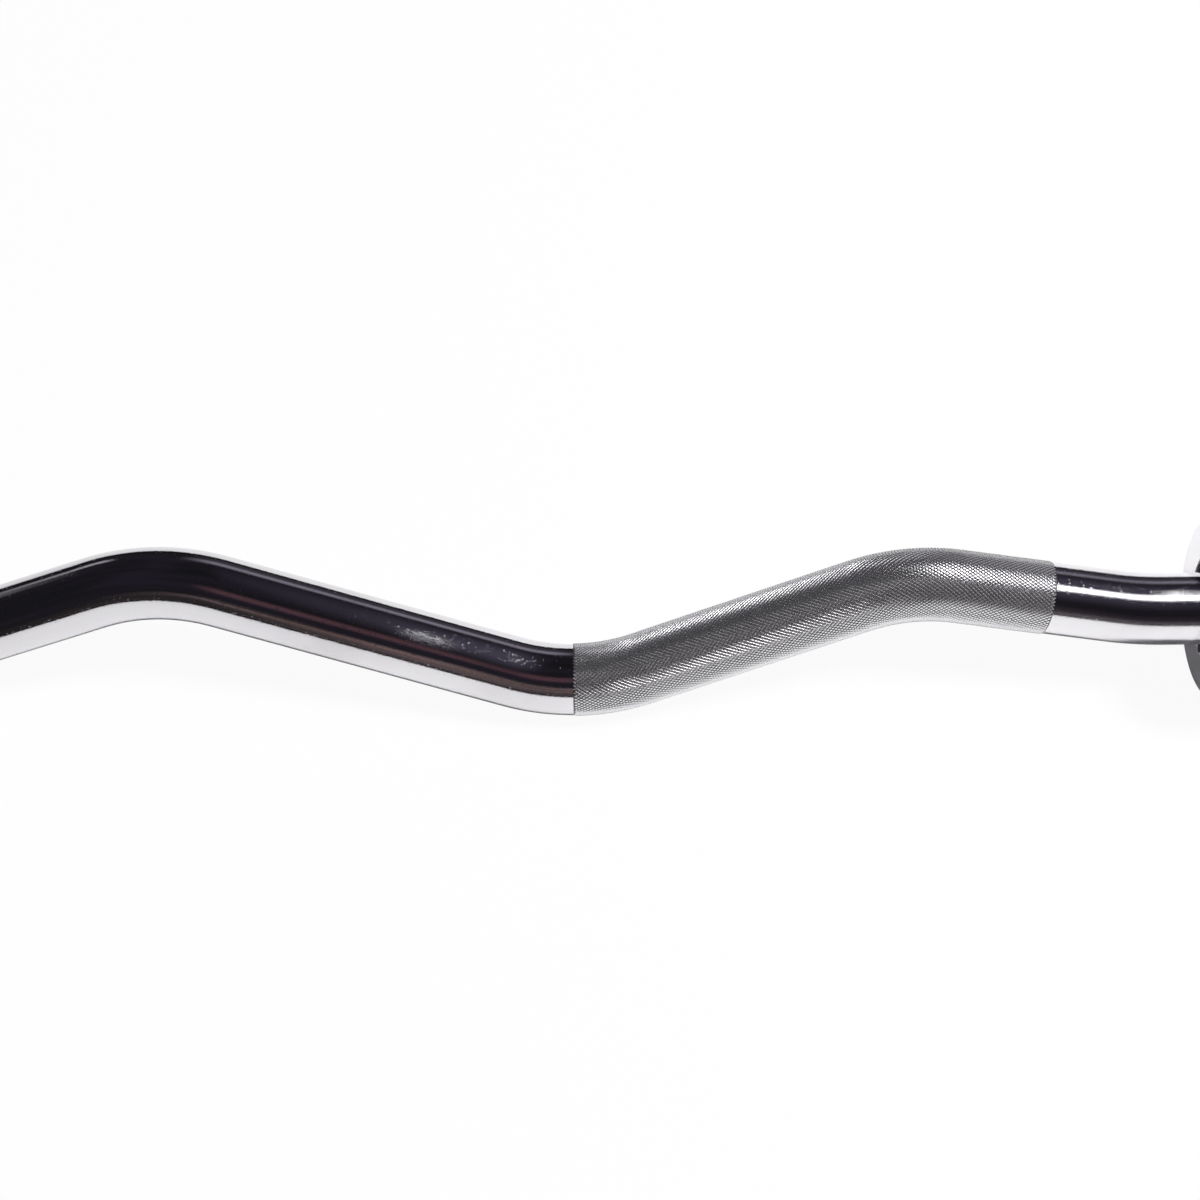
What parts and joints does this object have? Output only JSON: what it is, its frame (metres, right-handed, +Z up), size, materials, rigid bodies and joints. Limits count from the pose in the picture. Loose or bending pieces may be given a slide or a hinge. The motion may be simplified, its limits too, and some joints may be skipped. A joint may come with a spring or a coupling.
{
  "type": "ez curl bar",
  "caption": "Chrome curl bar with an angled, partly knurled shaft and a turning plate sleeve behind a round collar at each end.",
  "frame": {"origin": "middle of the bar on the floor, under the sleeves' common axis", "axes": "+X along the sleeves' axis, +Z up from the floor, -Y the side that the low bends lean towards"},
  "size_m": [1.2, 0.072, 0.072],
  "materials": {
    "shaft_chrome": "polished chrome plate, diamond knurl on the grips",
    "collar_chrome": "polished chrome plate over turned steel",
    "sleeve_chrome": "polished chrome plate with fine lengthwise scuffs from plates",
    "bronze": "oiled sintered bronze",
    "spring_steel": "dark phosphated spring steel",
    "washer_steel": "ground steel",
    "black_rubber": "matt black rubber"
  },
  "bodies": {
    "bar": {"shaft": "shaft_chrome", "left_inner_thrust_washer": "washer_steel", "right_inner_thrust_washer": "washer_steel", "left_outer_thrust_washer": "washer_steel", "right_outer_thrust_washer": "washer_steel", "left_shaft_circlip": "spring_steel", "right_shaft_circlip": "spring_steel"},
    "left_sleeve": {"left_sleeve_tube": "sleeve_chrome", "left_inner_collar": "collar_chrome", "left_dust_seal": "black_rubber", "left_inner_bushing": "bronze", "left_outer_bushing": "bronze", "left_end_cap": "collar_chrome", "left_end_cap_o_ring": "black_rubber", "left_end_cap_circlip": "spring_steel"},
    "right_sleeve": {"right_sleeve_tube": "sleeve_chrome", "right_inner_collar": "collar_chrome", "right_dust_seal": "black_rubber", "right_inner_bushing": "bronze", "right_outer_bushing": "bronze", "right_end_cap": "collar_chrome", "right_end_cap_o_ring": "black_rubber", "right_end_cap_circlip": "spring_steel"}
  },
  "joints": [
    {"name": "left_sleeve_spin", "type": "hinge", "parent": "bar", "child": "left_sleeve", "pos_m": [-0.5, 0, 0.036], "axis": [1, 0, 0], "continuous": true},
    {"name": "right_sleeve_spin", "type": "hinge", "parent": "bar", "child": "right_sleeve", "pos_m": [0.5, 0, 0.036], "axis": [1, 0, 0], "continuous": true}
  ]
}
